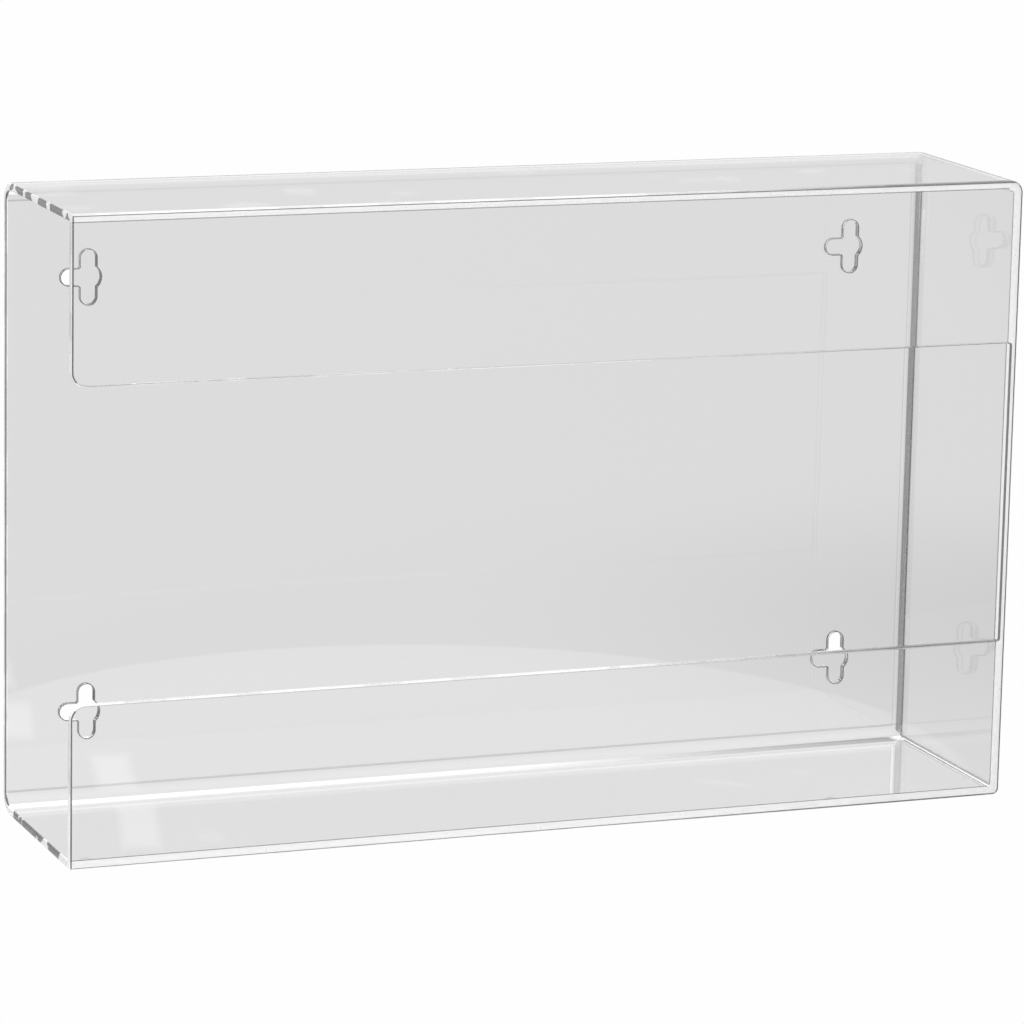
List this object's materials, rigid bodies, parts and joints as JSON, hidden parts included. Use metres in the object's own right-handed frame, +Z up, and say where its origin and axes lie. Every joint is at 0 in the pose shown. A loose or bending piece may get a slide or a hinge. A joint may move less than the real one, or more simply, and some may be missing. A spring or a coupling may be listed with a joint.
{
  "type": "disposable glove dispenser",
  "caption": "Clear acrylic rack for boxes of disposable gloves side by side, open at one end for loading, with a wide front window and keyholes in its back.",
  "frame": {"origin": "middle of the underside", "axes": "+X towards the closed end, +Y towards the wall, +Z up"},
  "size_m": [0.39, 0.092, 0.25],
  "materials": {
    "clear_body_sheet": "clear polished acrylic sheet, line-bent",
    "clear_front_sheet": "clear polished acrylic sheet, laser-cut edges"
  },
  "bodies": {
    "root": {"folded_body": "clear_body_sheet", "front_panel": "clear_front_sheet"}
  },
  "joints": []
}
